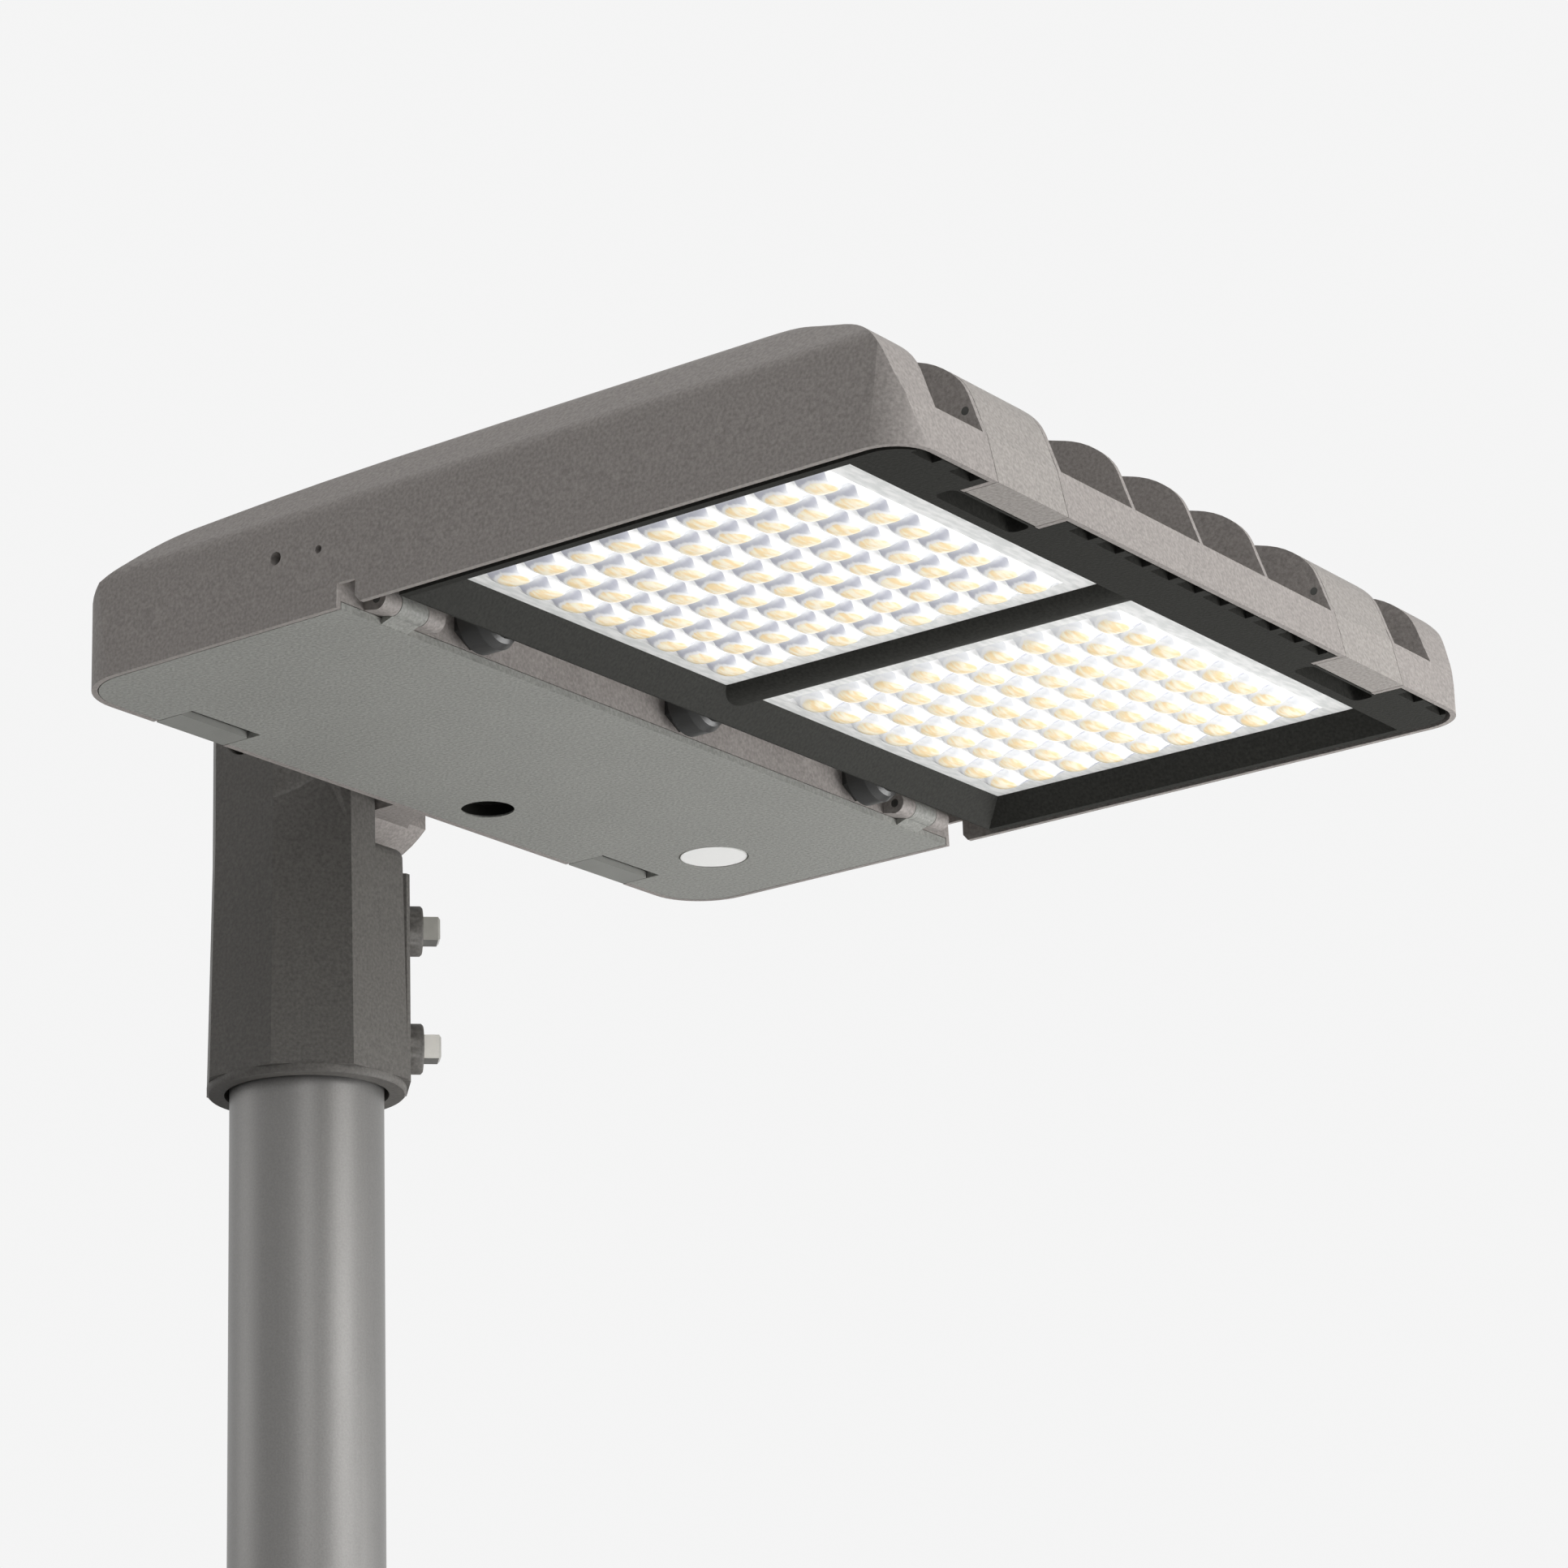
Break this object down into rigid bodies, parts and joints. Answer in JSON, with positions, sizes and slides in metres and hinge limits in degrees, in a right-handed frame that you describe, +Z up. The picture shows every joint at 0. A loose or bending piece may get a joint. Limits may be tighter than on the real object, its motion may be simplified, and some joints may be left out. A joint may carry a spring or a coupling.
{
  "type": "led street light",
  "caption": "Flat die-cast street light head with lens plates below, a hinged gear door, front latches and a tilting spigot on a short pole section.",
  "frame": {"origin": "centre of the pole section's cut lower end, on the pole's axis", "axes": "+Z up along the pole, +X from the pole to the front of the head, +Y to the side of the head where the two clamp bolts face"},
  "size_m": [0.4588, 0.3728, 0.3725],
  "materials": {
    "pole_steel": "satin metallic paint",
    "arm_coat": "fine textured powder coat",
    "housing_coat": "fine textured powder coat",
    "latch_coat": "fine textured powder coat",
    "frame_coat": "satin powder coat",
    "door_coat": "satin powder coat",
    "tab_plastic": "moulded matt",
    "lens_clear": "clear moulded optic",
    "chip_yellow": "phosphor yellow",
    "board_white": "white solder resist",
    "seal_rubber": "matt",
    "bolt_steel": "plated",
    "tray_steel": "galvanised sheet",
    "gland_dark": "moulded polyamide",
    "driver_case": "satin",
    "surge_case": "matt",
    "terminal_case": "matt",
    "disc_white": "smooth"
  },
  "bodies": {
    "pole": {"pole_section": "pole_steel"},
    "spigot_body": {"spigot": "arm_coat", "clamp_bolts": "bolt_steel", "tilt_washer": "bolt_steel", "pivot_bolt": "bolt_steel", "pivot_washers": "bolt_steel", "pivot_nut": "bolt_steel"},
    "head": {"housing": "housing_coat", "optic_frame": "frame_coat", "lens_plate_near": "lens_clear", "lens_plate_far": "lens_clear", "lens_gasket_near": "seal_rubber", "lens_gasket_far": "seal_rubber", "led_board_near": "board_white", "led_board_far": "board_white", "led_chips_near": "chip_yellow", "led_chips_far": "chip_yellow", "board_screws": "bolt_steel", "cable_glands": "gland_dark", "gland_plug": "gland_dark", "led_leads": "seal_rubber", "door_hinge_pins": "bolt_steel", "front_latch_pins": "bolt_steel", "gear_tray": "tray_steel", "tray_screws": "bolt_steel", "led_driver": "driver_case", "driver_screws": "bolt_steel", "surge_protector": "surge_case", "terminal_block": "terminal_case"},
    "door_body": {"door": "door_coat", "door_gasket": "seal_rubber", "door_disc": "disc_white"},
    "tab_near": {"latch_tab_near": "tab_plastic"},
    "tab_far": {"latch_tab_far": "tab_plastic"},
    "latch_near": {"front_latch_near": "latch_coat"},
    "latch_far": {"front_latch_far": "latch_coat"}
  },
  "joints": [
    {"name": "spigot_swivel", "type": "hinge", "parent": "pole", "child": "spigot_body", "pos_m": [0, 0, 0.235], "axis": [0, 0, 1], "range_deg": [-180, 180]},
    {"name": "head_tilt", "type": "hinge", "parent": "spigot_body", "child": "head", "pos_m": [0, 0, 0.336], "axis": [0, -1, 0], "range_deg": [-10, 15]},
    {"name": "door_hinge", "type": "hinge", "parent": "head", "child": "door_body", "pos_m": [0.1865, 0, 0.306], "axis": [0, -1, 0], "range_deg": [0, 90]},
    {"name": "tab_slide_near", "type": "slide", "parent": "door_body", "child": "tab_near", "axis": [1, 0, 0], "range_m": [0, 0.004], "stiffness_N_per_m": 300, "springref_m": -0.004},
    {"name": "tab_slide_far", "type": "slide", "parent": "door_body", "child": "tab_far", "axis": [1, 0, 0], "range_m": [0, 0.004], "stiffness_N_per_m": 300, "springref_m": -0.004},
    {"name": "latch_rock_near", "type": "hinge", "parent": "head", "child": "latch_near", "pos_m": [0.4098, -0.1126, 0.327], "axis": [0, -1, 0], "range_deg": [0, 25], "stiffness_Nm_per_rad": 0.3, "springref_deg": -28.65},
    {"name": "latch_rock_far", "type": "hinge", "parent": "head", "child": "latch_far", "pos_m": [0.4098, 0.1126, 0.327], "axis": [0, -1, 0], "range_deg": [0, 25], "stiffness_Nm_per_rad": 0.3, "springref_deg": -28.65}
  ]
}
